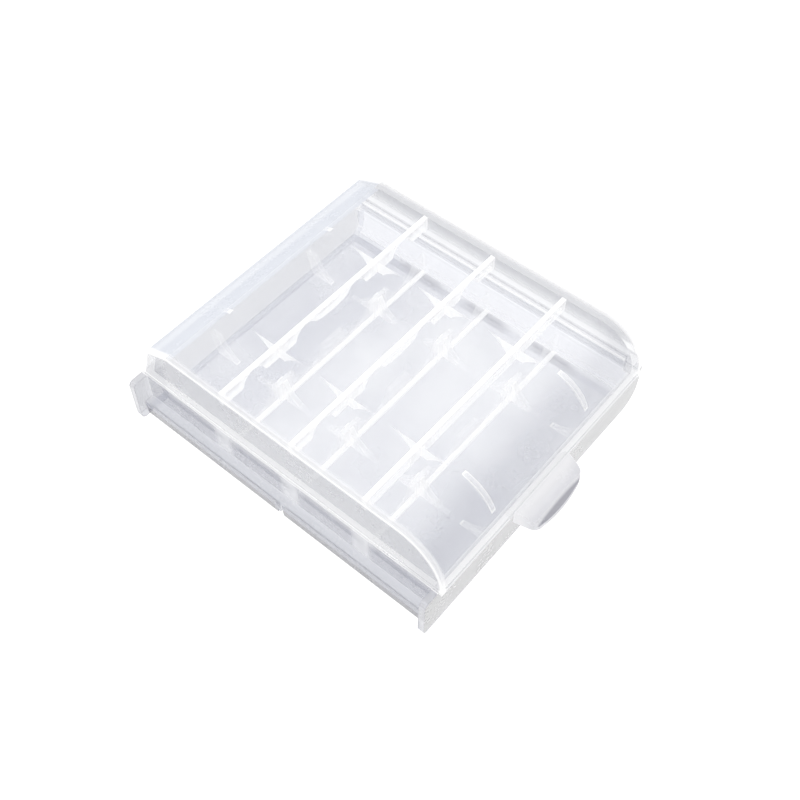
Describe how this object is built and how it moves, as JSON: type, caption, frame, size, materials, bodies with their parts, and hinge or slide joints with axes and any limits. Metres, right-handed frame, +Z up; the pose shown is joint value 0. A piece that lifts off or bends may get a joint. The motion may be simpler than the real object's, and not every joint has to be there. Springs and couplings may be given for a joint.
{
  "type": "battery storage case",
  "caption": "flip-lid translucent plastic case that holds a row of round cells side by side, with a living hinge, ribs between the cells and a thumb tab on the lid",
  "frame": {"origin": "centre of the bottom of the case's bounding box, on the surface that its feet stand on", "axes": "+Z up; X along the cells and the hinge, the plain wall beyond the far end at +X and the floor's ledge at -X; hinge at +Y, thumb tab at -Y"},
  "size_m": [0.0598, 0.0716, 0.0195],
  "materials": {
    "tray_plastic": "satin translucent natural polypropylene",
    "lid_plastic": "satin translucent natural polypropylene",
    "tab_plastic": "satin translucent natural polypropylene",
    "web_plastic": "satin translucent natural polypropylene",
    "tray_rib_plastic": "satin translucent natural polypropylene",
    "lid_rib_plastic": "satin translucent natural polypropylene"
  },
  "bodies": {
    "base": {"base_tray": "tray_plastic", "base_rib_1": "tray_rib_plastic", "base_rib_2": "tray_rib_plastic", "base_rib_3": "tray_rib_plastic", "base_cross_ribs_1": "tray_rib_plastic", "base_cross_ribs_2": "tray_rib_plastic", "base_cross_ribs_3": "tray_rib_plastic", "base_hinge_gussets": "tray_rib_plastic", "base_latch_gussets": "tray_rib_plastic", "living_hinge": "web_plastic"},
    "lid": {"lid_shell": "lid_plastic", "lid_rib_1": "lid_rib_plastic", "lid_rib_2": "lid_rib_plastic", "lid_rib_3": "lid_rib_plastic", "lid_cross_ribs_1": "lid_rib_plastic", "lid_cross_ribs_2": "lid_rib_plastic", "lid_cross_ribs_3": "lid_rib_plastic", "lid_hinge_gussets": "lid_rib_plastic", "lid_latch_gussets": "lid_rib_plastic", "thumb_tab": "tab_plastic"}
  },
  "joints": [
    {"name": "lid_hinge", "type": "hinge", "parent": "base", "child": "lid", "pos_m": [0, 0.0352, 0.00955], "axis": [-1, 0, 0], "range_deg": [0, 176], "deforming": ["living_hinge"]}
  ]
}
